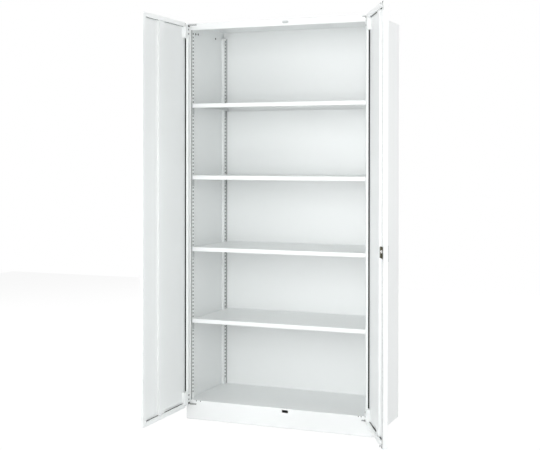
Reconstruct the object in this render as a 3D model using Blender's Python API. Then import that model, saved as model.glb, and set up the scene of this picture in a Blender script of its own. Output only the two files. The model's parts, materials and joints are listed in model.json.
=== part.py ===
"""A two-door steel office cupboard with four shelves on slotted rails.

Metres, +Z up. The cupboard faces -Y. Its frame has the floor at z = 0, the middle of the width
at x = 0 and y = 0 in the middle of the front foot flange, which is 10 mm behind the front plane.
Both doors stand open, the left by 89 degrees and the right by 117.
Run it with: blender --background --python part.py
"""

import math

import bmesh
import bpy
from mathutils import Matrix, Vector

# Overall body, without the doors.
BODY_WIDTH = 0.880
BODY_DEPTH = 0.400
BODY_HEIGHT = 1.790

# Sheet steel and how neighbours meet.
SHEET = 0.0008
SEAT_GAP = 0.0003
BEND_RADIUS = 0.0014
BEND_STEPS = 3
OVERRUN = 0.004

# Folds of the side panels.
POST_WIDTH = 0.023
POST_HEM = 0.006
REAR_FLANGE = 0.020

# Top panel with its front rail.
TOP_RAIL_HEIGHT = 0.029
TOP_RAIL_RETURN = 0.015
TOP_REAR_FOLD = 0.020

# Bottom panel: deck, front skirt and foot flange.
DECK_HEIGHT = 0.0855
FOOT_FLANGE = 0.020
DECK_REAR_FOLD = 0.020

# Slotted shelf rails.
RAIL_SHEET = 0.001
RAIL_WIDTH = 0.027
RAIL_SETBACK = 0.0005
REAR_RAIL_PROUD = 0.015
RAIL_END_CLEARANCE = 0.0006
SLOT_WIDTH = 0.0075
SLOT_HEIGHT = 0.008
SLOT_PITCH = 0.01625
FIRST_SLOT_HEIGHT = 0.1207
LAST_SLOT_CLEARANCE = 0.012

# Shelves, hung at a slot number counted from the lowest slot.
SHELF_SLOTS = (80, 60, 40, 20)
SHELF_ABOVE_SLOT = 0.0078
SHELF_EDGE = 0.0183
SHELF_RETURN = 0.012
SHELF_SIDE_CLEARANCE = 0.0003
SHELF_FRONT_SETBACK = 0.009
SHELF_REAR_CLEARANCE = 0.0035

# Shelf clips.
CLIP_SHEET = 0.0012
CLIP_WIDTH = 0.016
CLIP_BEARING = 0.0095
CLIP_DROP = 0.030
CLIP_HOOK_WIDTH = 0.006
CLIP_HOOK_RISE = 0.002
CLIP_HOOK_CATCH = 0.0022

# Doors: pans with return flanges and a lip that turns back towards the skin.
DOOR_BOTTOM = 0.063
DOOR_BELOW_TOP = 0.002
DOOR_THICKNESS = 0.016
DOOR_SIDE_MARGIN = 0.002
DOOR_CENTRE_GAP = 0.003
DOOR_FRONT_GAP = 0.0025
HINGE_FLANGE = 0.018
FREE_FLANGE = 0.020
END_FLANGE = 0.018
DOOR_LIP = 0.009

# Hat-shaped stiffener on the inside of each door.
STIFFENER_PLACE_SHARE = 0.6
STIFFENER_WIDTH = 0.054
STIFFENER_FOOT = 0.012
STIFFENER_BELOW_FLANGE = 0.0065
STIFFENER_END_GAP = 0.0005

# Meeting strip on the left door's free edge.
STRIP_ON_DOOR = 0.012
STRIP_PAST_EDGE = 0.010
STRIP_END_INSET = 0.003

# Pivot line, measured in from the side and forward of the body's front plane.
PIVOT_SIDE = 0.0045
PIVOT_FRONT = 0.023
PIN_RADIUS = 0.0025
PIN_HEAD_RADIUS = 0.0038
PIN_HEAD = 0.0014
PIN_PAST_EAR = 0.0016
BORE_CLEARANCE = 0.0004

# Hinge arms, which come out of slots in the top rail and the skirt.
ARM_SHEET = 0.003
ARM_EYE_RADIUS = 0.0042
ARM_FROM_SIDE = 0.003
ARM_WIDTH = 0.045
ARM_SHOULDER = 0.008
ARM_LEAF_WIDTH = 0.024
ARM_LEAF_HEIGHT = 0.015
ARM_SLOT_MARGIN = 0.0015
UPPER_ARM_BELOW_TOP = 0.0065
LOWER_ARM_HEIGHT = 0.0675

# Hinge plates on the doors: shallow covers, each with an ear that turns on the arm's pin.
PLATE_SHEET = 0.0015
PLATE_WIDTH = 0.0455
PLATE_END = 0.068
PLATE_EDGE_INSET = 0.001
EAR_SHEET = 0.0025
EAR_WIDTH = 0.030
CORNER_NOTCH = 0.013
CORNER_NOTCH_LENGTH = 0.049
SKIN_NOTCH_LENGTH = 0.0095
EAR_NECK = 0.0075

# Lock on the right door.
LOCK_FROM_EDGE = 0.039
LOCK_HEIGHT = 0.8175
BEZEL_SHEET = 0.002
BEZEL_MARGIN = 0.008
CUP_WIDTH = 0.046
CUP_HEIGHT = 0.046
CUP_WALL = 0.0016
CUP_DEPTH = 0.0087
CUP_GRIP_OVERHANG = 0.008
CASE_WIDTH = 0.026
CASE_HEIGHT = 0.047
CASE_SHEET = 0.001
HOUSING_FRONT_SETBACK = 0.001
HOUSING_RADIUS = 0.008
HOUSING_REAR_GAP = 0.0072
PLUG_RADIUS = 0.0055
KEYWAY_WIDTH = 0.0016
KEYWAY_HEIGHT = 0.0064
KEYWAY_DEPTH = 0.006
CAM_RADIUS = 0.0068
CAM_SHEET = 0.002
CRANK_RADIUS = 0.00354
CRANK_PIN_RADIUS = 0.0015
YOKE_SHEET = 0.0015
YOKE_PIN_CLEARANCE = 0.0004
YOKE_RIM = 0.0012
YOKE_INNER_REACH = 0.0006
YOKE_OUTER_REACH = 0.0056
YOKE_LENGTH = 0.029

# Latch rods, each with a hook that drops behind the edge of its catch slot.
ROD_RADIUS = 0.003
ROD_START = 0.025
ROD_TRAVEL = 0.005
ROD_END_CLEARANCE = 0.0012
HOOK_SHEET = 0.003
HOOK_BAR = 0.004
HOOK_TOOTH = 0.0043
HOOK_TOOTH_LENGTH = 0.005
HOOK_BEVEL_SHARE = 0.35
HOOK_SLOT_CLEARANCE = 0.001
HOOK_PAST_SHEET = 0.0017
HOOK_NOTCH_WIDTH = 0.016
HOOK_NOTCH_DEPTH = 0.0105
CATCH_SLOT_WIDTH = 0.028
LOWER_CATCH_BOTTOM = 0.0675
LOWER_CATCH_HEIGHT = 0.012
UPPER_CATCH_BELOW_TOP = 0.008
UPPER_CATCH_HEIGHT = 0.012
END_GUIDE_LENGTH = 0.018
GUIDE_WIDTH = 0.014
GUIDE_TOP_GAP = 0.0006

# How far each door stands open, in degrees.
LEFT_OPEN_DEGREES = 88.9
RIGHT_OPEN_DEGREES = 116.7

ROUND_SIDES = 20
SMALL_ROUND_SIDES = 12
SHARP_DEGREES = 35

# Worked out from the values above.
HALF_WIDTH = BODY_WIDTH / 2
BACK_FACE = BODY_DEPTH - 2 * SHEET - SEAT_GAP
OPENING_TOP = BODY_HEIGHT - TOP_RAIL_HEIGHT
SLOT_COUNT = int((OPENING_TOP - LAST_SLOT_CLEARANCE - FIRST_SLOT_HEIGHT) / SLOT_PITCH) + 1
DOOR_TOP = BODY_HEIGHT - DOOR_BELOW_TOP
DOOR_WIDTH = (BODY_WIDTH - 2 * DOOR_SIDE_MARGIN - DOOR_CENTRE_GAP) / 2
DOOR_HEIGHT = DOOR_TOP - DOOR_BOTTOM
LOCK_FROM_HINGE = DOOR_WIDTH - LOCK_FROM_EDGE
STIFFENER_FROM_HINGE = DOOR_WIDTH * STIFFENER_PLACE_SHARE - STIFFENER_WIDTH / 2
PIVOT_TO_EDGE = PIVOT_SIDE - DOOR_SIDE_MARGIN
INNER_FACE = PIVOT_FRONT - DOOR_FRONT_GAP
OUTER_FACE = INNER_FACE - DOOR_THICKNESS
SKIN_INSIDE = OUTER_FACE + SHEET
LOCK_REAR = INNER_FACE - HOUSING_REAR_GAP
CAM_REAR = LOCK_REAR + SEAT_GAP + CAM_SHEET
ROD_DEPTH = CAM_REAR + SEAT_GAP + YOKE_SHEET + SEAT_GAP / 2
UPPER_ARM_HEIGHT = BODY_HEIGHT - UPPER_ARM_BELOW_TOP


def clear_scene():
    for obj in list(bpy.data.objects):
        bpy.data.objects.remove(obj, do_unlink=True)


def make_material(name, colour, roughness, metallic=0.0):
    material = bpy.data.materials.new(name)
    material.use_nodes = True
    shader = material.node_tree.nodes["Principled BSDF"]
    shader.inputs["Base Color"].default_value = (*colour, 1.0)
    shader.inputs["Roughness"].default_value = roughness
    shader.inputs["Metallic"].default_value = metallic
    return material


def add_object(name, mesh, material, parent):
    obj = bpy.data.objects.new(name, mesh)
    bpy.context.scene.collection.objects.link(obj)
    if material:
        mesh.materials.append(material)
    obj.parent = parent
    return obj


def finish_mesh(name, shape):
    """Faces out, round sides smooth, flat ones sharp."""
    bmesh.ops.recalc_face_normals(shape, faces=shape.faces)
    mesh = bpy.data.meshes.new(name)
    shape.to_mesh(mesh)
    shape.free()
    mesh.shade_smooth()
    mesh.set_sharp_from_angle(angle=math.radians(SHARP_DEGREES))
    return mesh


def join_rings(shape, rings):
    """Closes a stack of equal rings of points: a cap, the walls between rings, a cap."""
    loops = [[shape.verts.new(point) for point in ring] for ring in rings]
    shape.faces.new(loops[0])
    shape.faces.new(loops[-1])
    for lower, upper in zip(loops, loops[1:]):
        for index in range(len(lower)):
            after = (index + 1) % len(lower)
            shape.faces.new((lower[index], lower[after], upper[after], upper[index]))


def extruded(outline, start, end, place):
    """A shape with one outline, (a, b) points, drawn from start to end; place gives x, y, z."""
    shape = bmesh.new()
    join_rings(shape, [[place(a, b, along) for a, b in outline] for along in (start, end)])
    return shape


def turned(profile, place, sides):
    """A solid of revolution: profile holds (radius, along) pairs; place gives x, y, z."""
    angles = [math.tau * index / sides for index in range(sides)]
    rings = [
        [place(radius * math.cos(angle), radius * math.sin(angle), along) for angle in angles]
        for radius, along in profile
    ]
    shape = bmesh.new()
    join_rings(shape, rings)
    return shape


def block(low, high):
    """A plain box between two opposite corners, for tabs and cutters."""
    outline = [(low[0], low[1]), (high[0], low[1]), (high[0], high[1]), (low[0], high[1])]
    return extruded(outline, low[2], high[2], lambda a, b, c: (a, b, c))


def arc(centre, radius, start, end, steps):
    """Points of an arc; the angles are in radians."""
    return [
        (
            centre[0] + radius * math.cos(start + (end - start) * index / steps),
            centre[1] + radius * math.sin(start + (end - start) * index / steps),
        )
        for index in range(steps + 1)
    ]


def rounded(points, radius):
    """The open path with each inner corner turned into a bend."""
    corners = [Vector(point) for point in points]
    path = [corners[0]]
    for before, corner, after in zip(corners, corners[1:], corners[2:]):
        back = (before - corner).normalized()
        ahead = (after - corner).normalized()
        half = back.angle(ahead) / 2
        centre = corner + (back + ahead).normalized() * radius / math.sin(half)
        enter = corner + back * radius / math.tan(half) - centre
        leave = corner + ahead * radius / math.tan(half) - centre
        start = math.atan2(enter.y, enter.x)
        turn = (math.atan2(leave.y, leave.x) - start + math.pi) % math.tau - math.pi
        path += [Vector(point) for point in arc(centre, radius, start, start + turn, BEND_STEPS)]
    path.append(corners[-1])
    return path


def sheet_outline(points, thickness):
    """The closed outline of a bent sheet whose outer side follows the points, metal on its left."""
    path = rounded(points, BEND_RADIUS)
    inner = []
    for index, point in enumerate(path):
        before = path[max(index - 1, 0)]
        after = path[min(index + 1, len(path) - 1)]
        sides = [end - begin for begin, end in ((before, point), (point, after)) if end != begin]
        normals = [Vector((-side.y, side.x)).normalized() for side in sides]
        middle = sum(normals, Vector((0.0, 0.0))).normalized()
        inner.append(point + middle * thickness / middle.dot(normals[0]))
    return [tuple(point) for point in path] + [tuple(point) for point in reversed(inner)]


def folded_pan(size, flanges, depth, lip, thickness, place):
    """A sheet pan: a face, rims round it, flanges turned inwards and a lip turned back.

    size is (width, height); flanges are the (left, right, low, high) widths. place takes a point
    (across, up, depth below the face) to x, y, z.
    """
    width, height = size
    bend = [math.pi / 2 * index / BEND_STEPS for index in range(BEND_STEPS + 1)]
    radius = BEND_RADIUS
    stations = [(radius - radius * math.sin(a), 0, radius - radius * math.cos(a)) for a in bend]
    stations += [
        (radius - radius * math.cos(a), 0, depth - radius + radius * math.sin(a)) for a in bend
    ]
    stations += [
        (0, 1, depth),
        (0, 1, depth - lip),
        (-thickness, 1, depth - lip),
        (-thickness, 1, depth - thickness),
        (thickness, 0, depth - thickness),
        (thickness, 0, thickness),
    ]
    rings = []
    for inset, on_flange, level in stations:
        left, right, low, high = [inset + on_flange * flange for flange in flanges]
        right = width - right
        high = height - high
        corners = ((left, low), (right, low), (right, high), (left, high))
        rings.append([place(across, up, level) for across, up in corners])
    shape = bmesh.new()
    join_rings(shape, rings)
    return shape


def make(name, shape, material, parent):
    return add_object(name, finish_mesh(name, shape), material, parent)


def helper(name, shape, parent):
    """A cutter or a piece to be joined on, left out of the model itself."""
    obj = make(name, shape, None, parent)
    obj.hide_render = True
    obj.display_type = "WIRE"
    return obj


def helper_group(name, shapes, parent):
    """One cutter made of many shapes that lie clear of each other."""
    whole = bmesh.new()
    for shape in shapes:
        mesh = bpy.data.meshes.new(name)
        shape.to_mesh(mesh)
        shape.free()
        whole.from_mesh(mesh)
        bpy.data.meshes.remove(mesh)
    return helper(name, whole, parent)


def combine(target, others, operation):
    for other in others:
        modifier = target.modifiers.new(other.name, "BOOLEAN")
        modifier.operation = operation
        modifier.solver = "EXACT"
        modifier.object = other


def cut(target, name, shapes):
    combine(target, [helper(f"{name}_{i}", s, target.parent) for i, s in enumerate(shapes)], "DIFFERENCE")


def weld(target, name, shapes):
    combine(target, [helper(f"{name}_{i}", s, target.parent) for i, s in enumerate(shapes)], "UNION")


def make_empty(name, location, turn, parent):
    empty = bpy.data.objects.new(name, None)
    bpy.context.scene.collection.objects.link(empty)
    empty.location = location
    empty.rotation_euler = (0.0, 0.0, turn)
    empty.parent = parent
    return empty


def side_place(side):
    """Place on a side panel: inset from its outer face, depth and height."""

    def place(inset, depth, height):
        return (side * (HALF_WIDTH - inset), depth, height)

    return place


def build_side_panel(side, white, body):
    """Outer skin, front post with its hem and rear flange, bent from one sheet."""
    place = side_place(side)
    path = [
        (POST_WIDTH, POST_HEM),
        (POST_WIDTH, 0.0),
        (0.0, 0.0),
        (0.0, BODY_DEPTH),
        (REAR_FLANGE, BODY_DEPTH),
    ]
    top = BODY_HEIGHT - SHEET - SEAT_GAP
    name = "left_side_panel" if side < 0 else "right_side_panel"
    outline = sheet_outline(path[::-1], SHEET)
    panel = make(name, extruded(outline, 0.0, top, place), white, body)
    behind_rail = SHEET + SEAT_GAP
    ends = (
        (OPENING_TOP - SEAT_GAP, BODY_HEIGHT + OVERRUN),
        (-OVERRUN, DECK_HEIGHT + SEAT_GAP),
    )
    cuts = []
    for low, high in ends:
        skin = place(-OVERRUN, -OVERRUN, low), place(behind_rail, behind_rail, high)
        post = place(POST_WIDTH + OVERRUN, POST_HEM + OVERRUN, high)
        fold = place(behind_rail, -OVERRUN, low), post
        cuts += [block(*skin), block(*fold)]
    rear_low = place(-OVERRUN, BODY_DEPTH - SHEET - SEAT_GAP, BODY_HEIGHT - TOP_REAR_FOLD - SEAT_GAP)
    rear_high = place(REAR_FLANGE + OVERRUN, BODY_DEPTH + OVERRUN, BODY_HEIGHT)
    cuts.append(block(rear_low, rear_high))
    cut(panel, f"{name}_end_cut", cuts)


def build_top_panel(white, body):
    """Top sheet, front rail with its return and rear fold, with slots for hinge arms and catch."""
    path = [
        (TOP_RAIL_RETURN, OPENING_TOP),
        (0.0, OPENING_TOP),
        (0.0, BODY_HEIGHT),
        (BODY_DEPTH, BODY_HEIGHT),
        (BODY_DEPTH, BODY_HEIGHT - TOP_REAR_FOLD),
    ]
    outline = sheet_outline(path[::-1], SHEET)
    shape = extruded(outline, -HALF_WIDTH, HALF_WIDTH, lambda depth, height, x: (x, depth, height))
    panel = make("top_panel", shape, white, body)
    catch_top = BODY_HEIGHT - UPPER_CATCH_BELOW_TOP
    cuts = side_trims(OPENING_TOP - OVERRUN, OPENING_TOP + OVERRUN, TOP_RAIL_RETURN + OVERRUN)
    cuts += arm_slots(UPPER_ARM_HEIGHT)
    cuts.append(catch_slot(catch_top - UPPER_CATCH_HEIGHT, catch_top))
    cut(panel, "top_slot", cuts)


def build_bottom_panel(white, body):
    """Foot flange, front skirt and deck from one sheet, let in between the side panels."""
    deck_rear = BACK_FACE - SEAT_GAP
    path = [
        (FOOT_FLANGE, 0.0),
        (0.0, 0.0),
        (0.0, DECK_HEIGHT),
        (deck_rear, DECK_HEIGHT),
        (deck_rear, DECK_HEIGHT - DECK_REAR_FOLD),
    ]
    outline = sheet_outline(path[::-1], SHEET)
    shape = extruded(outline, -HALF_WIDTH, HALF_WIDTH, lambda depth, height, x: (x, depth, height))
    panel = make("bottom_panel", shape, white, body)
    cuts = side_trims(-OVERRUN, DECK_HEIGHT + OVERRUN, BODY_DEPTH)
    cuts += arm_slots(LOWER_ARM_HEIGHT)
    cuts.append(catch_slot(LOWER_CATCH_BOTTOM, LOWER_CATCH_BOTTOM + LOWER_CATCH_HEIGHT))
    cut(panel, "bottom_slot", cuts)


def side_trims(low, high, rear):
    """Cutters that end a panel's folds at the inner faces of the side panels."""
    gap = SHEET + SEAT_GAP
    outer = HALF_WIDTH + OVERRUN
    return [
        block((side * (HALF_WIDTH - gap), gap, low), (side * outer, rear, high)) for side in (-1, 1)
    ]


def arm_slots(height):
    """Cutters for the slots that the left and right hinge arms come out of."""
    half = ARM_SHEET / 2 + ARM_SLOT_MARGIN
    outer = HALF_WIDTH - ARM_FROM_SIDE + ARM_SLOT_MARGIN
    inner = HALF_WIDTH - ARM_FROM_SIDE - ARM_WIDTH - ARM_SLOT_MARGIN
    return [
        block((side * inner, -OVERRUN, height - half), (side * outer, OVERRUN, height + half))
        for side in (-1, 1)
    ]


def catch_slot(low, high):
    """A cutter for the slot that a latch hook enters, in line with the rods of the closed door."""
    middle = HALF_WIDTH - DOOR_SIDE_MARGIN - LOCK_FROM_HINGE
    half = CATCH_SLOT_WIDTH / 2
    return block((middle - half, -OVERRUN, low), (middle + half, OVERRUN, high))


def build_back_panel(white, body):
    inside = HALF_WIDTH - SHEET - SEAT_GAP
    low = (-inside, BACK_FACE, 0.0)
    high = (inside, BACK_FACE + SHEET, BODY_HEIGHT - SHEET - SEAT_GAP)
    make("back_panel", block(low, high), white, body)


def rail_face(at_front):
    return POST_WIDTH - RAIL_SETBACK if at_front else REAR_RAIL_PROUD


def rail_front_edge(at_front):
    if at_front:
        return POST_HEM + SEAT_GAP
    return BACK_FACE - SEAT_GAP - RAIL_WIDTH


def build_shelf_rail(side, at_front, white, body):
    """A channel on the side panel whose web has a column of slots for the shelf clips."""
    skin = SHEET + SEAT_GAP
    face = rail_face(at_front)
    near = rail_front_edge(at_front)
    far = near + RAIL_WIDTH
    place = side_place(side)
    outline = sheet_outline([(skin, far), (face, far), (face, near), (skin, near)], -RAIL_SHEET)
    bottom = DECK_HEIGHT + RAIL_END_CLEARANCE
    top = OPENING_TOP - RAIL_END_CLEARANCE
    names = ("front" if at_front else "rear", "left" if side < 0 else "right")
    shape = extruded(outline, bottom, top, place)
    rail = make("shelf_rail_{}_{}".format(*names), shape, white, body)
    middle = (near + far) / 2
    slots = []
    for index in range(SLOT_COUNT):
        height = FIRST_SLOT_HEIGHT + index * SLOT_PITCH
        low = place(face - 2 * RAIL_SHEET, middle - SLOT_WIDTH / 2, height - SLOT_HEIGHT / 2)
        high = place(face + OVERRUN, middle + SLOT_WIDTH / 2, height + SLOT_HEIGHT / 2)
        slots.append(block(low, high))
    whole = helper_group("{}_{}_rail_slots".format(*names), slots, body)
    combine(rail, [whole], "DIFFERENCE")


def shelf_top(slot):
    return FIRST_SLOT_HEIGHT + slot * SLOT_PITCH + SHELF_ABOVE_SLOT


def build_shelf(number, slot, white, body):
    """A pan with its edges turned down and in, resting on four clips."""
    side_inset = POST_WIDTH + SHELF_SIDE_CLEARANCE
    width = BODY_WIDTH - 2 * side_inset
    depth = BACK_FACE - SHELF_REAR_CLEARANCE - SHELF_FRONT_SETBACK
    top = shelf_top(slot)

    def place(across, back, down):
        return (across - width / 2, SHELF_FRONT_SETBACK + back, top - down)

    shape = folded_pan((width, depth), (SHELF_RETURN,) * 4, SHELF_EDGE, SHEET, SHEET, place)
    make(f"shelf_{number}", shape, white, body)


def clip_shapes(side, at_front, slot):
    """A clip's bracket and its two hooks, in the slots under the shelf's edge."""
    face = rail_face(at_front) + SEAT_GAP
    behind = rail_face(at_front) - RAIL_SHEET - SEAT_GAP
    middle = rail_front_edge(at_front) + RAIL_WIDTH / 2
    seat = shelf_top(slot) - SHELF_EDGE - SEAT_GAP
    reach = POST_WIDTH + SHELF_SIDE_CLEARANCE + CLIP_BEARING

    def across(inset, height, depth):
        return side_place(side)(inset, depth, height)

    bracket = [
        (face, seat - CLIP_DROP),
        (face + CLIP_SHEET, seat - CLIP_DROP),
        (face + CLIP_SHEET, seat - CLIP_SHEET),
        (reach, seat - CLIP_SHEET),
        (reach, seat),
        (face, seat),
    ]
    shapes = [extruded(bracket, middle - CLIP_WIDTH / 2, middle + CLIP_WIDTH / 2, across)]
    for below in (1, 2):
        height = FIRST_SLOT_HEIGHT + (slot - below) * SLOT_PITCH
        low = height - SLOT_HEIGHT / 2 + SEAT_GAP
        tip = height - SLOT_HEIGHT / 2 - CLIP_HOOK_CATCH
        hook = [
            (face + CLIP_SHEET / 2, low),
            (face + CLIP_SHEET / 2, low + CLIP_HOOK_RISE),
            (behind - CLIP_SHEET, low + CLIP_HOOK_RISE),
            (behind - CLIP_SHEET, tip),
            (behind, tip),
            (behind, low),
        ]
        shapes.append(extruded(hook, middle - CLIP_HOOK_WIDTH / 2, middle + CLIP_HOOK_WIDTH / 2, across))
    return shapes


def build_shelf_clip(number, slot, side, at_front, steel, body):
    bracket, *hooks = clip_shapes(side, at_front, slot)
    names = (number, "front" if at_front else "rear", "left" if side < 0 else "right")
    clip = make("shelf_clip_{}_{}_{}".format(*names), bracket, steel, body)
    weld(clip, f"{clip.name}_hook", hooks)


def arm_outline(side):
    """The arm in plan: an eye round the pin, a neck and a wide tongue that fills the slot."""
    pivot = (HALF_WIDTH - PIVOT_SIDE, -PIVOT_FRONT)
    tongue_outer = HALF_WIDTH - ARM_FROM_SIDE
    tongue_inner = tongue_outer - ARM_WIDTH
    rear = SHEET + SEAT_GAP + ARM_SHEET
    eye = arc(pivot, ARM_EYE_RADIUS, 0.0, -math.pi, ROUND_SIDES // 2)
    points = [
        (tongue_outer, rear),
        (tongue_outer, -ARM_SHOULDER + ARM_EYE_RADIUS / 2),
        *eye,
        (pivot[0] - ARM_EYE_RADIUS, -ARM_SHOULDER - ARM_EYE_RADIUS / 2),
        (pivot[0] - 2 * ARM_EYE_RADIUS, -ARM_SHOULDER),
        (tongue_inner, -ARM_SHOULDER / 2),
        (tongue_inner, rear),
    ]
    return [(side * x, y) for x, y in points]


def build_hinge_arm(side, upper, steel, body):
    """A flat arm out of its slot, with a leaf turned down behind the rail or up behind the skirt."""
    height = UPPER_ARM_HEIGHT if upper else LOWER_ARM_HEIGHT
    leaf_way = -1 if upper else 1
    low = height - ARM_SHEET / 2
    high = height + ARM_SHEET / 2
    name = "hinge_arm_{}_{}".format("upper" if upper else "lower", "left" if side < 0 else "right")
    shape = extruded(arm_outline(side), low, high, lambda x, y, z: (x, y, z))
    arm = make(name, shape, steel, body)
    inner = side * (HALF_WIDTH - ARM_FROM_SIDE - ARM_WIDTH)
    outer = side * (HALF_WIDTH - ARM_FROM_SIDE - ARM_WIDTH + ARM_LEAF_WIDTH)
    front = SHEET + SEAT_GAP
    leaf_end = height + leaf_way * ARM_LEAF_HEIGHT
    leaf = block((inner, front, height), (outer, front + ARM_SHEET, leaf_end))
    weld(arm, f"{name}_leaf", [leaf])
    cut(arm, f"{name}_bore", [pin_bore(side, low - OVERRUN, high + OVERRUN)])


def pin_bore(side, low, high):
    x = side * (HALF_WIDTH - PIVOT_SIDE)
    radius = PIN_RADIUS + BORE_CLEARANCE

    def at(a, b, height):
        return (x + a, b - PIVOT_FRONT, height)

    return turned([(radius, low), (radius, high)], at, ROUND_SIDES)


def ear_levels(upper):
    """Lowest and highest point of a door's ear, which turns on the arm's lower or upper face."""
    if upper:
        high = UPPER_ARM_HEIGHT - ARM_SHEET / 2 - SEAT_GAP
        return high - EAR_SHEET, high
    low = LOWER_ARM_HEIGHT + ARM_SHEET / 2 + SEAT_GAP
    return low, low + EAR_SHEET


def build_hinge_pin(side, upper, steel, body):
    """A headed pin through an arm's eye and the ear of the door's plate."""
    x = side * (HALF_WIDTH - PIVOT_SIDE)
    ear_low, ear_high = ear_levels(upper)
    if upper:
        head = UPPER_ARM_HEIGHT + ARM_SHEET / 2 + SEAT_GAP
        levels = (ear_low - PIN_PAST_EAR, head, head + PIN_HEAD)
    else:
        head = LOWER_ARM_HEIGHT - ARM_SHEET / 2 - SEAT_GAP
        levels = (ear_high + PIN_PAST_EAR, head, head - PIN_HEAD)
    tip, under_head, top = levels
    profile = [
        (PIN_RADIUS, tip),
        (PIN_RADIUS, under_head),
        (PIN_HEAD_RADIUS, under_head),
        (PIN_HEAD_RADIUS, top),
    ]
    shape = turned(profile, lambda a, b, c: (x + a, b - PIVOT_FRONT, c), SMALL_ROUND_SIDES)
    name = "hinge_pin_{}_{}".format("upper" if upper else "lower", "left" if side < 0 else "right")
    make(name, shape, steel, body)


def door_place(side):
    """Place in a closed door's own frame: distance from the hinge edge, depth and height."""

    def place(from_hinge, depth, height):
        return (side * (PIVOT_TO_EDGE - from_hinge), depth, height)

    return place


def from_end(upper, distance):
    """Height of a point that lies a distance inside a door's upper or lower end."""
    return DOOR_TOP - distance if upper else DOOR_BOTTOM + distance


def build_door_panel(side, white, door):
    """The door's outer pan, notched at the hinge corners."""
    name = "left_door_panel" if side < 0 else "right_door_panel"
    place = door_place(side)

    def pan_place(across, up, depth):
        return place(across, OUTER_FACE + depth, DOOR_BOTTOM + up)

    flanges = (HINGE_FLANGE, FREE_FLANGE, END_FLANGE, END_FLANGE)
    shape = folded_pan((DOOR_WIDTH, DOOR_HEIGHT), flanges, DOOR_THICKNESS, DOOR_LIP, SHEET, pan_place)
    panel = make(name, shape, white, door)
    cuts = []
    for upper in (True, False):
        end = from_end(upper, -OVERRUN)
        notch = from_end(upper, CORNER_NOTCH)
        inner = INNER_FACE + OVERRUN
        cuts += [
            block(place(-OVERRUN, SKIN_INSIDE + SHEET, end), place(CORNER_NOTCH_LENGTH, inner, notch)),
            block(place(-OVERRUN, OUTER_FACE - OVERRUN, end), place(SKIN_NOTCH_LENGTH, inner, notch)),
        ]
    cut(panel, f"{name}_notch", cuts)
    return panel


def build_stiffener(side, white, door):
    """A hat section on the skin between the end flanges, lower than they are."""
    name = "left_door_stiffener" if side < 0 else "right_door_stiffener"
    base = SKIN_INSIDE + SEAT_GAP
    face = INNER_FACE - STIFFENER_BELOW_FLANGE
    near = STIFFENER_FROM_HINGE
    far = near + STIFFENER_WIDTH
    path = [
        (near - STIFFENER_FOOT, base),
        (near, base),
        (near, face),
        (far, face),
        (far, base),
        (far + STIFFENER_FOOT, base),
    ]
    inset = END_FLANGE + STIFFENER_END_GAP
    outline = hat_outline(path)
    shape = extruded(outline, from_end(False, inset), from_end(True, inset), door_place(side))
    make(name, shape, white, door)


def hat_outline(path):
    """The hat's outline; its feet lie on the skin and its face keeps its outer height."""
    feet_up = [(across, level + SHEET if level == path[0][1] else level) for across, level in path]
    return sheet_outline(feet_up, -SHEET)


def build_hinge_plate(side, upper, white, door):
    """A cover over the flanges at a hinge corner: a plate with two walls and an ear on the pin."""
    names = ("left" if side < 0 else "right", "upper" if upper else "lower")
    place = door_place(side)
    low = INNER_FACE + SEAT_GAP
    middle = low + PLATE_SHEET / 2
    far = PLATE_EDGE_INSET + PLATE_WIDTH
    end = from_end(upper, PLATE_END)
    ear_low, ear_high = ear_levels(upper)
    ear_end = ear_high if upper else ear_low
    shape = block(place(PLATE_EDGE_INSET, low, ear_end), place(far, low + PLATE_SHEET, end))
    plate = make("{}_door_hinge_plate_{}".format(*names), shape, white, door)

    base = SKIN_INSIDE + SEAT_GAP
    flange_end = from_end(upper, END_FLANGE + SEAT_GAP)
    wall_top = from_end(upper, PLATE_END - PLATE_SHEET)
    walls = [
        block(place(far - PLATE_SHEET, base, flange_end), place(far, middle, end)),
        block(place(HINGE_FLANGE + SEAT_GAP, base, wall_top), place(far, middle, end)),
    ]
    pivot = (PIVOT_TO_EDGE, 0.0)
    eye = arc(pivot, ARM_EYE_RADIUS, -math.pi, 0.0, ROUND_SIDES // 2)
    ear = [
        *eye,
        (PIVOT_TO_EDGE + ARM_EYE_RADIUS, EAR_NECK),
        (PLATE_EDGE_INSET + EAR_WIDTH, low - EAR_SHEET),
        (PLATE_EDGE_INSET + EAR_WIDTH, middle),
        (PLATE_EDGE_INSET, middle),
        (PLATE_EDGE_INSET, low - EAR_SHEET),
    ]
    weld(plate, f"{plate.name}_fold", [*walls, extruded(ear, ear_low, ear_high, place)])
    radius = PIN_RADIUS + BORE_CLEARANCE
    profile = [(radius, ear_low - OVERRUN), (radius, ear_high + OVERRUN)]
    cut(plate, f"{plate.name}_bore", [turned(profile, lambda a, b, c: (a, b, c), ROUND_SIDES)])


def build_meeting_strip(white, door):
    """A flat strip on the left door that closes the gap behind the right door's edge."""
    place = door_place(-1)
    low = INNER_FACE + SEAT_GAP
    corners = (
        place(DOOR_WIDTH - STRIP_ON_DOOR, low, from_end(False, STRIP_END_INSET)),
        place(DOOR_WIDTH + STRIP_PAST_EDGE, low + SHEET, from_end(True, STRIP_END_INSET)),
    )
    make("left_door_meeting_strip", block(*corners), white, door)


def lock_at(a, b, along):
    """Place round the lock's axis: a away from the hinge, b up, along into the cupboard."""
    return door_place(1)(LOCK_FROM_HINGE + a, along, LOCK_HEIGHT + b)


def lock_bore(radius, start, end):
    return turned([(radius, start), (radius, end)], lock_at, ROUND_SIDES)


def lock_block(width, height, start, end):
    """A box centred on the lock's axis."""
    return block(lock_at(-width / 2, -height / 2, start), lock_at(width / 2, height / 2, end))


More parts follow.
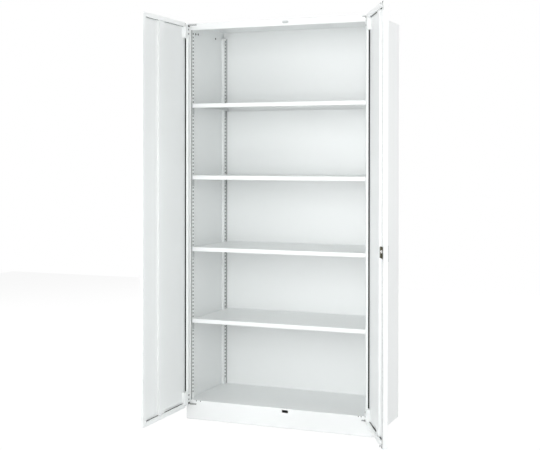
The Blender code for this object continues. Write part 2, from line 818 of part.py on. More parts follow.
def build_pull_handle(plastic, door, panel):
    """A moulded bezel with a finger dish, let into the skin round the lock."""
    bezel_rear = OUTER_FACE - SEAT_GAP
    bezel_front = bezel_rear - BEZEL_SHEET
    cup_rear = bezel_front + CUP_DEPTH
    rim = 2 * BEZEL_MARGIN
    bezel = lock_block(CUP_WIDTH + rim, CUP_HEIGHT + rim, bezel_front, bezel_rear)
    handle = make("pull_handle", bezel, plastic, door)
    cup = lock_block(CUP_WIDTH, CUP_HEIGHT, bezel_front + BEZEL_SHEET / 2, cup_rear)
    weld(handle, "pull_dish", [cup])
    high = CUP_HEIGHT / 2 - CUP_WALL
    half = CUP_WIDTH / 2 - CUP_WALL
    floor = lock_at(half, high, cup_rear - CUP_WALL)
    mouth = block(lock_at(CUP_GRIP_OVERHANG - half, -high, bezel_front - OVERRUN), floor)
    grip = block(lock_at(-half, -high, bezel_rear), floor)
    hole = lock_bore(HOUSING_RADIUS + BORE_CLEARANCE, bezel_front, cup_rear + OVERRUN)
    cut(handle, "pull_hollow", [mouth, grip, hole])
    gap = 2 * SEAT_GAP
    window = lock_block(CUP_WIDTH + gap, CUP_HEIGHT + gap, OUTER_FACE - OVERRUN, SKIN_INSIDE + SHEET)
    cut(panel, "handle_window", [window])


def build_lock(metal, steel, door, turning):
    """A fixed housing and case, and the plug and cam that the key turns."""
    bezel_front = OUTER_FACE - SEAT_GAP - BEZEL_SHEET
    front = bezel_front + HOUSING_FRONT_SETBACK
    housing = make("lock_housing", lock_bore(HOUSING_RADIUS, front, LOCK_REAR), metal, door)
    bore = lock_bore(PLUG_RADIUS + BORE_CLEARANCE, front - OVERRUN, LOCK_REAR + OVERRUN)
    cut(housing, "housing_bore", [bore])

    case_front = bezel_front + CUP_DEPTH + SEAT_GAP
    case_shape = lock_block(CASE_WIDTH, CASE_HEIGHT, case_front, INNER_FACE)
    case = make("lock_case", case_shape, metal, door)
    width = CASE_WIDTH - 2 * CASE_SHEET
    height = CASE_HEIGHT + 2 * OVERRUN
    hollow = lock_block(width, height, case_front - OVERRUN, INNER_FACE - CASE_SHEET)
    cut(case, "case_hollow", [hollow])

    def turning_at(a, b, along):
        return (-a, along, b)

    plug_shape = turned([(PLUG_RADIUS, front), (PLUG_RADIUS, LOCK_REAR)], turning_at, ROUND_SIDES)
    plug = make("lock_plug", plug_shape, metal, turning)
    across = KEYWAY_WIDTH / 2
    up = KEYWAY_HEIGHT / 2
    keyway = block((-across, front - OVERRUN, -up), (across, front + KEYWAY_DEPTH, up))
    cut(plug, "keyway", [keyway])
    cam_shape = turned([(CAM_RADIUS, LOCK_REAR + SEAT_GAP), (CAM_RADIUS, CAM_REAR)], turning_at, ROUND_SIDES)
    cam = make("lock_cam", cam_shape, steel, turning)
    weld(cam, "crank_pin", [crank_pin(way, levels) for way, levels in ((1, 1), (-1, 2))])


def crank_height(way):
    return -way * CRANK_RADIUS * math.sin(math.pi / 4)


def crank_pin(way, levels):
    """A pin on the cam that reaches through the given number of yokes."""
    x = way * CRANK_RADIUS * math.cos(math.pi / 4)
    z = crank_height(way)
    end = CAM_REAR + levels * (SEAT_GAP + YOKE_SHEET)
    profile = [(CRANK_PIN_RADIUS, CAM_REAR - CAM_SHEET / 2), (CRANK_PIN_RADIUS, end)]
    return turned(profile, lambda a, b, along: (x + a, along, z + b), SMALL_ROUND_SIDES)


def build_latch_rod(upper, steel, sliding):
    """A round rod with a yoke on the cam's pin and a hook at its far end.

    The sliding frame has its origin on the lock's axis in the closed door's own directions.
    """
    way = 1 if upper else -1
    level = CAM_REAR + SEAT_GAP if upper else CAM_REAR + 2 * SEAT_GAP + YOKE_SHEET
    pin_height = crank_height(way)
    catch = BODY_HEIGHT - UPPER_CATCH_BELOW_TOP if upper else LOWER_CATCH_BOTTOM
    hook_far = catch - way * HOOK_SLOT_CLEARANCE - LOCK_HEIGHT
    end = from_end(upper, SHEET + ROD_END_CLEARANCE + ROD_TRAVEL) - LOCK_HEIGHT
    shape = turned(
        [(ROD_RADIUS, way * ROD_START), (ROD_RADIUS, end)],
        lambda a, b, along: (a, ROD_DEPTH + b, along),
        SMALL_ROUND_SIDES,
    )
    rod = make("upper_latch_rod" if upper else "lower_latch_rod", shape, steel, sliding)

    slot_half = CRANK_PIN_RADIUS + YOKE_PIN_CLEARANCE
    rim = pin_height - way * (slot_half + YOKE_RIM)
    yoke = block(
        (-way * YOKE_INNER_REACH, level, rim),
        (way * (YOKE_OUTER_REACH + YOKE_RIM), level + YOKE_SHEET, way * YOKE_LENGTH),
    )
    tooth_start = PIVOT_FRONT + SHEET + HOOK_PAST_SHEET
    tooth_end = tooth_start + HOOK_TOOTH_LENGTH
    bar_far = hook_far - way * HOOK_TOOTH
    bar_near = bar_far - way * HOOK_BAR
    outline = [
        (ROD_DEPTH, bar_near),
        (tooth_end, bar_near),
        (tooth_end, hook_far - way * HOOK_TOOTH * HOOK_BEVEL_SHARE),
        (tooth_start + HOOK_TOOTH_LENGTH / 2, hook_far),
        (tooth_start, hook_far),
        (tooth_start, bar_far),
        (ROD_DEPTH, bar_far),
    ]
    half = HOOK_SHEET / 2
    hook = extruded(outline, -half, half, lambda depth, height, x: (x, depth, height))
    weld(rod, f"{rod.name}_end", [yoke, hook])
    slot = block(
        (way * YOKE_INNER_REACH, level - OVERRUN, pin_height - slot_half),
        (way * YOKE_OUTER_REACH, level + YOKE_SHEET + OVERRUN, pin_height + slot_half),
    )
    cut(rod, f"{rod.name}_slot", [slot])


def build_rod_guide(upper, plastic, door):
    """A block beside an end flange that a latch rod slides in."""
    start = END_FLANGE + SEAT_GAP
    place = door_place(1)
    half = GUIDE_WIDTH / 2
    near = place(LOCK_FROM_HINGE - half, SKIN_INSIDE + SEAT_GAP, from_end(upper, start))
    far_height = from_end(upper, start + END_GUIDE_LENGTH)
    far = place(LOCK_FROM_HINGE + half, INNER_FACE - GUIDE_TOP_GAP, far_height)
    guide = make("rod_guide_upper" if upper else "rod_guide_lower", block(near, far), plastic, door)
    radius = ROD_RADIUS + BORE_CLEARANCE
    ends = [from_end(upper, start - OVERRUN), from_end(upper, start + END_GUIDE_LENGTH + OVERRUN)]

    def at(a, b, along):
        return place(LOCK_FROM_HINGE + a, ROD_DEPTH + b, along)

    cut(guide, f"{guide.name}_bore", [turned([(radius, end) for end in ends], at, ROUND_SIDES)])


def cut_hook_notches(panel):
    """Openings in the end flanges of the right door that the rods and hooks pass."""
    place = door_place(1)
    near = LOCK_FROM_HINGE - HOOK_NOTCH_WIDTH / 2
    far = LOCK_FROM_HINGE + HOOK_NOTCH_WIDTH / 2
    cuts = []
    for upper in (True, False):
        low = place(near, INNER_FACE - HOOK_NOTCH_DEPTH, from_end(upper, 2 * SHEET))
        high = place(far, INNER_FACE + OVERRUN, from_end(upper, END_FLANGE + OVERRUN))
        cuts.append(block(low, high))
    cut(panel, "hook_notch", cuts)


def build_door(side, turn, white, body):
    name = "left_door_pivot" if side < 0 else "right_door_pivot"
    location = (side * (HALF_WIDTH - PIVOT_SIDE), -PIVOT_FRONT, 0.0)
    door = make_empty(name, location, turn, body)
    panel = build_door_panel(side, white, door)
    build_stiffener(side, white, door)
    for upper in (True, False):
        build_hinge_plate(side, upper, white, door)
    return door, panel


def build():
    clear_scene()
    white = make_material("white_powder_coat", (0.86, 0.875, 0.87), 0.42)
    zinc = make_material("zinc_plated_steel", (0.62, 0.63, 0.62), 0.35, 0.9)
    steel = make_material("dark_hinge_steel", (0.10, 0.10, 0.10), 0.45, 0.6)
    lock_metal = make_material("nickel_plated_lock", (0.62, 0.60, 0.55), 0.3, 0.9)
    black = make_material("black_plastic", (0.02, 0.02, 0.022), 0.5)
    natural = make_material("natural_plastic", (0.78, 0.79, 0.77), 0.5)
    body = make_empty("cupboard_frame", (0.0, -FOOT_FLANGE / 2, 0.0), 0.0, None)

    for side in (-1, 1):
        build_side_panel(side, white, body)
        for at_front in (True, False):
            build_shelf_rail(side, at_front, white, body)
        for upper in (True, False):
            build_hinge_arm(side, upper, steel, body)
            build_hinge_pin(side, upper, steel, body)
    build_top_panel(white, body)
    build_bottom_panel(white, body)
    build_back_panel(white, body)
    for number, slot in enumerate(SHELF_SLOTS, start=1):
        build_shelf(number, slot, white, body)
        for side in (-1, 1):
            for at_front in (True, False):
                build_shelf_clip(number, slot, side, at_front, zinc, body)

    left, _ = build_door(-1, -math.radians(LEFT_OPEN_DEGREES), white, body)
    build_meeting_strip(white, left)
    right, right_panel = build_door(1, math.radians(RIGHT_OPEN_DEGREES), white, body)
    build_pull_handle(black, right, right_panel)
    cut_hook_notches(right_panel)
    lock = door_place(1)(LOCK_FROM_HINGE, 0.0, LOCK_HEIGHT)
    turning = make_empty("lock_axis", lock, 0.0, right)
    build_lock(lock_metal, steel, right, turning)
    for upper in (True, False):
        name = "upper_rod_slide" if upper else "lower_rod_slide"
        build_latch_rod(upper, zinc, make_empty(name, lock, 0.0, right))
        build_rod_guide(upper, natural, right)


build()
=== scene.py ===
"""Looks, camera and light for the two-door steel cupboard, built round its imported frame."""

import json
import math

import bmesh
import bpy
from mathutils import Matrix, Vector


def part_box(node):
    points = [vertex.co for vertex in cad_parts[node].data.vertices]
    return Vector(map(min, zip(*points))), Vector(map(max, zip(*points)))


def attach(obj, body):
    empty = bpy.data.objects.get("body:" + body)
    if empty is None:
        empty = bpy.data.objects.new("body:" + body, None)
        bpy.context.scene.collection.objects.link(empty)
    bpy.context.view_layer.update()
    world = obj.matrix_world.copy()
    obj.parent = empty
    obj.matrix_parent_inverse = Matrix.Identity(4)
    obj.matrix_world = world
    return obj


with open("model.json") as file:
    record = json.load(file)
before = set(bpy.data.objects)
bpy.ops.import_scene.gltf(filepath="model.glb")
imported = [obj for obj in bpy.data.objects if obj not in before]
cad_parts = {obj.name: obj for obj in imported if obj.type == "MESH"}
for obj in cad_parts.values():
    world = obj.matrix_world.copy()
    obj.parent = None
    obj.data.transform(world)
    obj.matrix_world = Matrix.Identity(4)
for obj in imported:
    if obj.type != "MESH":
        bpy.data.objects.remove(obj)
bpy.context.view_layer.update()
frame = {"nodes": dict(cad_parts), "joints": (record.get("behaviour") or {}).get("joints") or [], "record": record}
nodes = frame["nodes"]
joints = {joint["name"]: joint for joint in frame["joints"]}

SIDES = (("left", -1), ("right", 1))


# Camera, fitted to the photograph


def add_camera():
    data = bpy.data.cameras.new("camera")
    data.sensor_width = 36.0
    data.lens = 72.467
    data.shift_y = -0.10374
    data.clip_start = 0.05
    data.clip_end = 60.0
    camera = bpy.data.objects.new("camera", data)
    camera.location = (1.79152, -4.42131, 1.18462)
    camera.rotation_euler = [math.radians(angle) for angle in (89.4012, -0.0626, 22.4534)]
    bpy.context.scene.collection.objects.link(camera)
    bpy.context.scene.camera = camera


# The doors' own axes: distance from the hinge edge, depth from the hinge axis, height


HINGE_INSET = 0.0025  # from a door's hinge edge to the hinge axis


def door_hinge(side):
    """The place of a door's hinge, and the angle by which the door stands open at rest."""
    joint = joints["left_door_hinge" if side < 0 else "right_door_hinge"]
    return joint["pos_m"], math.radians(-joint["range_deg"][0]) * joint["axis"][2]


def door_frame(side):
    """A function that takes the door's own axes to the open door, and the way in from its outside."""
    place, opened = door_hinge(side)
    turn = Matrix.Rotation(opened, 3, "Z")
    pivot = Vector(place)

    def point(from_hinge, depth, height):
        return pivot + turn @ Vector((side * (HINGE_INSET - from_hinge), depth, height))

    return point, turn @ Vector((0.0, 1.0, 0.0))


# Node trees


NOISE_LOW, NOISE_HIGH = 0.3, 0.7  # most values of a noise lie between these


class Tree:
    """Short calls for building the node tree of a material or a world."""

    def __init__(self, owner):
        owner.use_nodes = True
        self.nodes = owner.node_tree.nodes
        self.links = owner.node_tree.links

    def feed(self, socket, value):
        """Gives an input a number or a colour, or links another node's output to it."""
        if isinstance(value, bpy.types.NodeSocket):
            self.links.new(value, socket)
        else:
            socket.default_value = value

    def fill(self, node, values):
        """Feeds the inputs that values names, where an underscore may stand for a space."""
        for name, value in values.items():
            self.feed(node.inputs[name.replace("_", " ")], value)

    def add(self, kind, **values):
        node = self.nodes.new(kind)
        self.fill(node, values)
        return node

    def math(self, operation, *values):
        """A Math node; each value is a number or another node's output."""
        node = self.nodes.new("ShaderNodeMath")
        node.operation = operation
        for socket, value in zip(node.inputs, values):
            self.feed(socket, value)
        return node.outputs["Value"]

    def both(self, first, second):
        """1 where both masks are 1, otherwise 0."""
        return self.math("MULTIPLY", first, second)

    def either(self, first, second):
        """1 where one mask or the other is 1, otherwise 0."""
        return self.math("MAXIMUM", first, second)

    def within(self, value, low, high):
        """1 where the value lies between low and high, otherwise 0."""
        return self.both(self.math("GREATER_THAN", value, low), self.math("LESS_THAN", value, high))

    def parts(self, vector):
        node = self.add("ShaderNodeSeparateXYZ", Vector=vector)
        return [node.outputs[axis] for axis in "XYZ"]

    def seen_or_mirrored(self):
        """1 for the rays of the camera and of mirror images, otherwise 0."""
        path = self.nodes.new("ShaderNodeLightPath")
        return self.either(path.outputs["Is Camera Ray"], path.outputs["Is Glossy Ray"])

    def blend(self, share, first, second, output):
        """Ends the tree with the first shader, going over to the second where share is 1."""
        node = self.nodes.new("ShaderNodeMixShader")
        for socket, value in zip(node.inputs, (share, first.outputs[0], second.outputs[0])):
            self.feed(socket, value)
        self.add(output, Surface=node.outputs[0])


class Coat(Tree):
    """The tree of a material for the object, with the calls that its looks are made of."""

    def __init__(self, name):
        self.material = bpy.data.materials.new(name)
        super().__init__(self.material)
        self.shader = self.nodes["Principled BSDF"]
        self.where = self.nodes.new("ShaderNodeTexCoord").outputs["Object"]

    def noise(self, scale, detail=2.0, roughness=0.5, where=None):
        vector = where or self.where
        node = self.add("ShaderNodeTexNoise", Vector=vector, Scale=scale, Detail=detail, Roughness=roughness)
        return node.outputs["Fac"]

    def stretched(self, scale):
        return self.add("ShaderNodeMapping", Vector=self.where, Scale=scale).outputs["Vector"]

    def seen_from(self, origin, turn):
        """The position in a frame that stands at origin and is turned about Z."""
        node = self.nodes.new("ShaderNodeMapping")
        node.vector_type = "TEXTURE"
        self.fill(node, {"Vector": self.where, "Location": origin, "Rotation": (0.0, 0.0, turn)})
        return node.outputs["Vector"]

    def spread(self, value, low=0.0, high=1.0):
        """Takes the values of a noise to the range low to high."""
        node = self.add("ShaderNodeMapRange", Value=value, From_Min=NOISE_LOW, From_Max=NOISE_HIGH)
        self.fill(node, {"To Min": low, "To Max": high})
        return node.outputs["Result"]

    def mix(self, share, first, second):
        """The first colour or output, going over to the second colour where share is 1."""
        node = self.nodes.new("ShaderNodeMix")
        node.data_type = "RGBA"
        is_output = isinstance(first, bpy.types.NodeSocket)
        self.feed(node.inputs["A"], first if is_output else (*first, 1.0))
        self.feed(node.inputs["B"], (*second, 1.0))
        self.feed(node.inputs["Factor"], share)
        return node.outputs["Result"]

    def bump(self, height, **values):
        return self.add("ShaderNodeBump", Height=height, **values).outputs["Normal"]

    def set(self, **values):
        self.fill(self.shader, values)
        return self.material


# Marks of painted shade: each is 1 on the faces that it names. Pairs are bands from low to high, in metres in the
# frame's axes. Across is the distance from the body's middle plane.


BODY_HALF_WIDTH = 0.44
RAILS_HEIGHT = (0.0861, 1.7604)
POST_RETURN_ACROSS = (0.4166, 0.4174)
POST_RETURN_DEPTH = (-0.0092, 0.0010)
SKIN_ACROSS = (0.4386, 0.4396)
SKIN_BEHIND_FRONT_RAIL = (-0.0037, 0.0233)
SKIN_BEHIND_REAR_RAIL = (0.3608, 0.3878)
FRONT_RAIL_INSET, FRONT_RAIL_DEPTH = 0.02245, (-0.0031, 0.0227)
REAR_RAIL_INSET, REAR_RAIL_DEPTH = 0.01495, (0.3614, 0.3872)
RAIL_JOINT_SHADE_DEPTH = (-0.0045, -0.0004)
BACK_JOINT_SHADE_ACROSS = (0.4222, 0.4252)

DOOR_WIDTH = 0.4345
DOOR_LOW, DOOR_HIGH = 0.063, 1.788
RIM_FROM_EDGE = (0.0006, 0.0176)
RIM_DEPTH = (0.0049, 0.0201)
STIFFENER_WALL_FROM_HINGE = (0.2877, 0.2896)


def on_closed_door(n, side):
    """The position in the door's own axes: distance from the hinge edge, depth and height."""
    x, depth, height = n.parts(n.seen_from(*door_hinge(side)))
    return n.math("MULTIPLY_ADD", x, -side, HINGE_INSET), depth, height


def door_rim_painted_shade(side):
    """Marks the faces inside the folded rim of a door pan, where shade is painted in near black."""

    def mark(n):
        from_hinge, depth, height = on_closed_door(n, side)
        from_free = n.math("SUBTRACT", DOOR_WIDTH, from_hinge)
        from_low = n.math("SUBTRACT", height, DOOR_LOW)
        from_high = n.math("SUBTRACT", DOOR_HIGH, height)
        across = n.math("MINIMUM", from_hinge, from_free)
        along = n.math("MINIMUM", from_low, from_high)
        rim = n.within(n.math("MINIMUM", across, along), *RIM_FROM_EDGE)
        return n.both(rim, n.within(depth, *RIM_DEPTH))

    return mark


def stiffener_wall_painted_shade(n):
    """Marks the wall of the left door's stiffener that faces the free edge, where its shade is painted in light
    grey.
    """
    from_hinge, _, _ = on_closed_door(n, -1)
    return n.within(from_hinge, *STIFFENER_WALL_FROM_HINGE)


def post_return_painted_shade(n):
    """Marks the narrow return of a front post, in the joint with the rail, where the joint's shadow is painted
    dark grey.
    """
    x, y, z = n.parts(n.where)
    face = n.within(n.math("ABSOLUTE", x), *POST_RETURN_ACROSS)
    return n.both(face, n.both(n.within(y, *POST_RETURN_DEPTH), n.within(z, *RAILS_HEIGHT)))


def painted_shade_behind_rails(n):
    """Marks the inner skin of a side panel behind the slotted rails, where shade is painted in near black."""
    x, y, z = n.parts(n.where)
    skin = n.within(n.math("ABSOLUTE", x), *SKIN_ACROSS)
    covered = n.either(n.within(y, *SKIN_BEHIND_FRONT_RAIL), n.within(y, *SKIN_BEHIND_REAR_RAIL))
    return n.both(n.both(skin, covered), n.within(z, *RAILS_HEIGHT))


def painted_shade_inside_rails(n):
    """Marks the inner faces of the slotted rails and the edges of their slots, where shade is painted in near
    black.
    """
    x, y, _ = n.parts(n.where)
    inset = n.math("SUBTRACT", BODY_HALF_WIDTH, n.math("ABSOLUTE", x))
    front = n.both(n.math("LESS_THAN", inset, FRONT_RAIL_INSET), n.within(y, *FRONT_RAIL_DEPTH))
    rear = n.both(n.math("LESS_THAN", inset, REAR_RAIL_INSET), n.within(y, *REAR_RAIL_DEPTH))
    return n.either(front, rear)


def rail_joint_painted_shade(n):
    """Marks the narrow joint between a front rail and the post before it, where its shadow is painted dark grey.
    """
    _, y, _ = n.parts(n.where)
    return n.within(y, *RAIL_JOINT_SHADE_DEPTH)


def back_joint_painted_shade(n):
    """Marks the narrow joint between the back panel and the rear rails, where its shadow is painted dark grey."""
    x, _, z = n.parts(n.where)
    return n.both(n.within(n.math("ABSOLUTE", x), *BACK_JOINT_SHADE_ACROSS), n.within(z, *RAILS_HEIGHT))


# Materials


COAT_LIGHT, COAT_DARK = (0.917, 0.938, 0.936), (0.906, 0.928, 0.926)
# Near black: shade painted into the hollows of the door rims and the slotted rails.
PAINTED_SHADE_BLACK = (0.012, 0.012, 0.012)
# Dark grey: shadow painted into the joints of the posts, rails and back panel.
PAINTED_SHADE_GREY = (0.16, 0.165, 0.165)
# Light grey: shade painted on the stiffener's wall that faces the free edge.
PAINTED_SHADE_WALL = (0.80, 0.815, 0.813)


def powder_coat(name, *marks):
    """White powder coat: fine orange peel, slight unevenness in gloss and tone.

    Each mark comes with the colour that takes the coat's place there; every mark given here is painted shade.
    """
    n = Coat(name)
    tone = n.mix(n.spread(n.noise(2.2, detail=3.0)), COAT_LIGHT, COAT_DARK)
    for mark, colour in marks:
        tone = n.mix(mark(n), tone, colour)
    gloss = n.spread(n.noise(9.0, detail=4.0), 0.29, 0.35)
    peel = n.bump(n.noise(420.0), Strength=0.10, Distance=0.0006)
    grain = n.bump(n.noise(1900.0), Strength=0.06, Distance=0.0003, Normal=peel)
    return n.set(Base_Color=tone, Roughness=gloss, Normal=grain, Specular_IOR_Level=0.5)


def plated_steel(name, light, dark, gloss=(0.28, 0.44)):
    """Plated metal: a soft spangle, brushed streaks and uneven gloss."""
    n = Coat(name)
    tone = n.mix(n.spread(n.noise(120.0, detail=4.0, roughness=0.6)), light, dark)
    streaks = n.noise(1.0, detail=3.0, roughness=0.6, where=n.stretched((900.0, 900.0, 60.0)))
    brushed = n.bump(streaks, Strength=0.12, Distance=0.0002)
    return n.set(Base_Color=tone, Metallic=1.0, Roughness=n.spread(streaks, *gloss), Normal=brushed)


def moulded_plastic(name, light, dark):
    """Moulded plastic with a fine spark-eroded grain."""
    n = Coat(name)
    tone = n.mix(n.spread(n.noise(60.0, detail=3.0)), light, dark)
    gloss = n.spread(n.noise(30.0, detail=3.0), 0.44, 0.58)
    grain = n.bump(n.noise(2600.0, detail=3.0), Strength=0.25, Distance=0.0002)
    return n.set(Base_Color=tone, Roughness=gloss, Normal=grain)


def make_looks():
    """The look of each material slot, and of each node that has one of its own."""
    body = powder_coat("body_powder_coat")
    # The side and rail coats carry painted shade behind and inside the rails, and in the joints.
    side = powder_coat("side_coat_painted_shade", (post_return_painted_shade, PAINTED_SHADE_GREY), (painted_shade_behind_rails, PAINTED_SHADE_BLACK))
    rail = powder_coat("rail_coat_painted_shade", (rail_joint_painted_shade, PAINTED_SHADE_GREY), (painted_shade_inside_rails, PAINTED_SHADE_BLACK))
    back = powder_coat("back_coat_painted_shade", (back_joint_painted_shade, PAINTED_SHADE_GREY))
    stiffener = powder_coat("stiffener_coat_painted_shade", (stiffener_wall_painted_shade, PAINTED_SHADE_WALL))
    # The door coats carry painted shade inside their folded rims.
    left_door = powder_coat("left_door_coat_painted_shade", (door_rim_painted_shade(-1), PAINTED_SHADE_BLACK))
    right_door = powder_coat("right_door_coat_painted_shade", (door_rim_painted_shade(1), PAINTED_SHADE_BLACK))
    natural = moulded_plastic("natural_plastic", (0.80, 0.81, 0.79), (0.76, 0.77, 0.75))
    zinc = plated_steel("bright_zinc", (0.66, 0.67, 0.67), (0.52, 0.53, 0.54))
    dark_zinc = plated_steel("dark_zinc", (0.06, 0.06, 0.062), (0.03, 0.03, 0.031), (0.36, 0.5))
    arm_zinc = plated_steel("hinge_zinc", (0.42, 0.43, 0.43), (0.33, 0.34, 0.34), (0.36, 0.5))
    # The lock case's yellow zinc, darkened to how it looks in shade: painted shade.
    lock_zinc_painted_shade = plated_steel("lock_yellow_zinc_painted_shade", (0.13, 0.12, 0.085), (0.08, 0.075, 0.055), (0.34, 0.5))
    nickel = plated_steel("bright_nickel", (0.74, 0.73, 0.71), (0.66, 0.65, 0.63), (0.16, 0.26))
    black = moulded_plastic("black_plastic", (0.026, 0.026, 0.027), (0.018, 0.018, 0.019))
    slots = {
        "body_paint": body,
        "shelf_paint": body,
        "door_paint": body,
        "rail_paint": rail,
        "clip_zinc": zinc,
        "rod_zinc": zinc,
        "hinge_steel": dark_zinc,
        "lock_case_metal": lock_zinc_painted_shade,
        "lock_metal": nickel,
        "handle_plastic": black,
        "guide_plastic": natural,
    }
    own = {
        "left_side_panel": side,
        "right_side_panel": side,
        "back_panel": back,
        "left_door_panel": left_door,
        "right_door_panel": right_door,
        "left_door_stiffener": stiffener,
    }
    arms = {name: arm_zinc for name in nodes if name.startswith("hinge_arm")}
    return {**slots, **own, **arms}


def dress_nodes():
    slots = {part["node"]: part["material_slot"] for part in frame["record"]["subparts"]}
    for name, node in nodes.items():
        node.data.materials.clear()
        node.data.materials.append(looks.get(name, looks[slots[name]]))


# Meshes of the small fasteners


HEAD_SIDES = 32
HEAD_RINGS = ((1.0, 0.0), (1.0, 0.35), (0.9, 0.8), (0.72, 1.0))  # shares of the radius and the height
CROSS_ARM, CROSS_FLOOR, CROSS_TOP = 0.52, 0.3, 2.0  # a share of the radius, then two of the height
HEAD_SHARP, BLOCK_SHARP = 30, 40  # degrees; edges above this stay sharp
BEVEL_SEGMENTS = 3


def mesh_of(name, shape):
    mesh = bpy.data.meshes.new(name)
    shape.to_mesh(mesh)
    shape.free()
    return mesh


def smooth(mesh, sharp_above):
    mesh.shade_smooth()
    mesh.set_sharp_from_angle(angle=math.radians(sharp_above))
    return mesh


def loft_mesh(name, rings):
    """A closed mesh through rings of points, the lowest first."""
    shape = bmesh.new()
    corners = [[shape.verts.new(point) for point in ring] for ring in rings]
    shape.faces.new(corners[0][::-1])
    shape.faces.new(corners[-1])
    for low, high in zip(corners, corners[1:]):
        for i in range(len(low)):
            j = (i + 1) % len(low)
            shape.faces.new((low[i], low[j], high[j], high[i]))
    return mesh_of(name, shape)


def cut_mesh(mesh, cutter_mesh):
    """The mesh with the cutter's volume taken out, as a new mesh."""
    solid = bpy.data.objects.new("solid", mesh)
    cutter = bpy.data.objects.new("cutter", cutter_mesh)
    for obj in (solid, cutter):
        bpy.context.scene.collection.objects.link(obj)
    modifier = solid.modifiers.new("cut", "BOOLEAN")
    modifier.operation = "DIFFERENCE"
    modifier.solver = "EXACT"
    modifier.object = cutter
    graph = bpy.context.evaluated_depsgraph_get()
    made = bpy.data.meshes.new_from_object(solid.evaluated_get(graph))
    for obj in (solid, cutter):
        bpy.data.objects.remove(obj)
    return made


def screw_mesh(name, radius, head, recess):
    """A low raised head with a chamfered rim and a cross recess; its axis is +Z, its seat at z = 0."""
    angles = [math.tau * i / HEAD_SIDES for i in range(HEAD_SIDES)]
    rings = []
    for radius_share, height_share in HEAD_RINGS:
        r = radius * radius_share
        rings.append([(r * math.cos(a), r * math.sin(a), head * height_share) for a in angles])
    arm, half = radius * CROSS_ARM, recess / 2
    quarter = [(arm, -half), (arm, half), (half, half)]
    outline = []
    for _ in range(4):
        outline += quarter
        quarter = [(-y, x) for x, y in quarter]
    cross = [[(x, y, head * share) for x, y in outline] for share in (CROSS_FLOOR, CROSS_TOP)]
    return smooth(cut_mesh(loft_mesh(name, rings), loft_mesh(name + "_cross", cross)), HEAD_SHARP)


def block_mesh(name, size, bevel):
    """A block with rounded edges, with its middle at the origin."""
    shape = bmesh.new()
    bmesh.ops.create_cube(shape, size=1.0)
    bmesh.ops.scale(shape, vec=size, verts=shape.verts)
    bmesh.ops.bevel(
        shape, geom=shape.edges[:], affect="EDGES", offset=bevel, segments=BEVEL_SEGMENTS, profile=0.5
    )
    return smooth(mesh_of(name, shape), BLOCK_SHARP)


# Small fasteners. Distances on the doors are in the doors' own axes, the others in the frame's.


PLATE_DEPTH = 0.0223  # inner face of a door's hinge plates
# level, distance from the hinge edge, height or heights
HINGE_SCREWS = (("upper", 0.0145, (1.7590, 1.7400)), ("lower", 0.0112, (0.0946, 0.1136)))
HINGE_BUSHES = (("upper", 0.0130, 1.7750), ("lower", 0.0105, 0.0781))
LOCK_COVER_PLACE = (0.3960, 0.0245, 0.8205)
LOCK_NUT_PLACE = (0.4060, 0.0243, 0.8235)

DECK_RIVETS_X = (-0.391, -0.370, 0.377, 0.389, 0.408)
DECK_RIVETS_HEIGHT = 0.0830
WALL_ACROSS = 0.4392  # inner face of a side panel
WALL_RIVETS = ((0.080, 1.7520), (0.105, 1.7540), (0.293, 1.7525))  # depth and height


def place(name, mesh, point, normal, body, slot):
    """Puts a piece on the body that carries it, with the mesh's +Z along the normal."""
    obj = bpy.data.objects.new(name, mesh)
    bpy.context.scene.collection.objects.link(obj)
    turn = Vector(normal).to_track_quat("Z", "Y").to_matrix().to_4x4()
    obj.matrix_world = Matrix.Translation(point) @ turn
    mesh.materials.clear()
    mesh.materials.append(looks[slot])
    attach(obj, body)


def add_hinge_screws():
    mesh = screw_mesh("hinge_screw", radius=0.0042, head=0.0004, recess=0.0011)
    for word, side in SIDES:
        point, inward = door_frame(side)
        for level, from_hinge, heights in HINGE_SCREWS:
            for number, height in enumerate(heights, start=1):
                name = f"{word}_hinge_screw_{level}_{number}"
                seat = point(from_hinge, PLATE_DEPTH, height)
                place(name, mesh, seat, inward, f"{word}_door", "hinge_steel")


def add_deck_rivets():
    """Flush rivets along the front edge of the deck, beside the posts."""
    mesh = screw_mesh("deck_rivet", radius=0.0022, head=0.0003, recess=0.0006)
    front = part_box("bottom_panel")[0].y
    for number, x in enumerate(DECK_RIVETS_X, start=1):
        seat = (x, front, DECK_RIVETS_HEIGHT)
        place(f"deck_rivet_{number}", mesh, seat, (0, -1, 0), "cupboard", "hinge_steel")


def add_wall_rivets():
    """The rivets that hold the top panel, on the inside of the side panels."""
    mesh = screw_mesh("wall_rivet", radius=0.0050, head=0.0006, recess=0.0010)
    for word, side in SIDES:
        for number, (y, z) in enumerate(WALL_RIVETS, start=1):
            seat = (side * WALL_ACROSS, y, z)
            place(f"{word}_wall_rivet_{number}", mesh, seat, (-side, 0, 0), "cupboard", "hinge_steel")


def add_hinge_bushes():
    """Black bushes of the hinge pins, seen at the ends of the hinge plates."""
    mesh = block_mesh("hinge_bush", (0.0160, 0.0095, 0.0008), bevel=0.0003)
    for word, side in SIDES:
        point, inward = door_frame(side)
        for level, from_hinge, height in HINGE_BUSHES:
            middle = point(from_hinge, PLATE_DEPTH, height)
            place(f"hinge_bush_{level}_{word}", mesh, middle, inward, f"{word}_door", "handle_plastic")


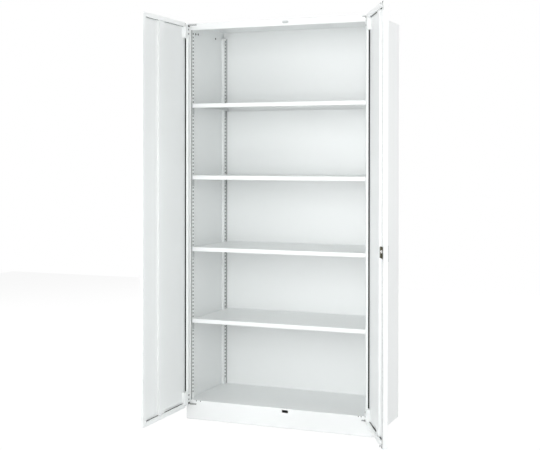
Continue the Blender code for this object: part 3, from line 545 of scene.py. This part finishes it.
def add_lock_cover():
    """The raised cover of the lock case, with the nut in its side."""
    point, inward = door_frame(1)
    to_free_edge = (point(1.0, 0.0, 0.0) - point(0.0, 0.0, 0.0)).normalized()
    cover = block_mesh("lock_cover", (0.020, 0.044, 0.008), bevel=0.0012)
    nut = block_mesh("lock_nut", (0.0070, 0.0120, 0.0030), bevel=0.0008)
    # The cover wears the lock case's zinc, darkened with painted shade.
    place("lock_cover", cover, point(*LOCK_COVER_PLACE), inward, "right_door", "lock_case_metal")
    place("lock_cover_nut", nut, point(*LOCK_NUT_PLACE), to_free_edge, "right_door", "lock_metal")


# Floor, backdrop and light


WHITE = (1.0, 1.0, 1.0, 1.0)
FLOOR_SIZE, FLOOR_HEIGHT = 10.0, -0.0005
FLOOR_TONE = (0.86, 0.86, 0.86, 1.0)
FLOOR_GLOW, FLOOR_GLOW_SHARE = 1.08, 0.84
UNDER_BODY_X, UNDER_BODY_Y = (0.0, 0.439), (0.19, 0.199)  # each a middle and a half size

WORLD_LEVEL = 0.22
LAMPS = (
    # name, place, aim, width and height, watts
    ("front", (0.9, -4.7, 1.6), (0.0, 0.1, 0.9), (3.0, 2.6), 69.0),
    ("front_left", (-1.5, -4.5, 1.9), (0.0, 0.1, 0.9), (3.0, 3.0), 41.0),
    ("front_near", (0.10, -1.3, 1.02), (0.05, 0.2, 1.0), (0.9, 1.7), 4.9),
    ("right", (4.3, -1.9, 2.0), (0.0, 0.1, 0.9), (3.0, 3.0), 53.0),
    ("right_rear", (4.3, 2.2, 1.8), (0.3, 0.2, 0.9), (3.0, 3.0), 49.0),
    ("left", (-4.6, 0.8, 1.8), (-0.3, 0.1, 0.9), (3.0, 3.0), 62.0),
    ("rear", (-0.5, 4.9, 1.9), (0.0, 0.3, 0.9), (3.0, 3.0), 76.0),
    ("top", (0.0, 0.2, 4.6), (0.0, 0.2, 0.0), (2.0, 2.0), 36.0),
)


def stage_material():
    """A pale matt floor that looks near white to the camera and in mirror images.

    Under the cupboard it stays matt, so that nothing shines out of the slots in the skirt.
    """
    material = bpy.data.materials.new("studio_white")
    t = Tree(material)
    t.nodes.clear()
    matt = t.add("ShaderNodeBsdfDiffuse", Color=FLOOR_TONE)
    glow = t.add("ShaderNodeEmission", Color=WHITE, Strength=FLOOR_GLOW)
    x, y, _ = t.parts(t.nodes.new("ShaderNodeTexCoord").outputs["Object"])

    def far_from(value, middle, reach):
        return t.math("GREATER_THAN", t.math("ABSOLUTE", t.math("SUBTRACT", value, middle)), reach)

    open_floor = t.either(far_from(x, *UNDER_BODY_X), far_from(y, *UNDER_BODY_Y))
    share = t.math("MULTIPLY", t.both(t.seen_or_mirrored(), open_floor), FLOOR_GLOW_SHARE)
    t.blend(share, matt, glow, "ShaderNodeOutputMaterial")
    return material


def add_floor():
    bpy.ops.mesh.primitive_plane_add(size=FLOOR_SIZE, location=(0.0, 0.0, FLOOR_HEIGHT))
    floor = bpy.context.object
    floor.name = "floor"
    floor.data.materials.append(stage_material())


def set_world(level):
    """A weak even light that looks white to the camera and in mirror images."""
    world = bpy.data.worlds.new("studio")
    bpy.context.scene.world = world
    t = Tree(world)
    t.nodes.clear()
    light = t.add("ShaderNodeBackground", Color=WHITE, Strength=level)
    white = t.add("ShaderNodeBackground", Color=WHITE, Strength=1.0)
    t.blend(t.seen_or_mirrored(), light, white, "ShaderNodeOutputWorld")


def add_lamp(name, location, target, size, watts):
    data = bpy.data.lights.new(name, "AREA")
    data.shape = "RECTANGLE"
    data.size, data.size_y = size
    data.energy = watts
    lamp = bpy.data.objects.new(name, data)
    lamp.location = location
    lamp.rotation_euler = (Vector(target) - Vector(location)).to_track_quat("-Z", "Y").to_euler()
    lamp.visible_camera = False
    bpy.context.scene.collection.objects.link(lamp)


def add_studio():
    add_floor()
    set_world(WORLD_LEVEL)
    for lamp in LAMPS:
        add_lamp(*lamp)
    bpy.context.scene.view_settings.view_transform = "Standard"


add_camera()
looks = make_looks()
dress_nodes()
add_hinge_screws()
add_deck_rivets()
add_wall_rivets()
add_hinge_bushes()
add_lock_cover()
add_studio()
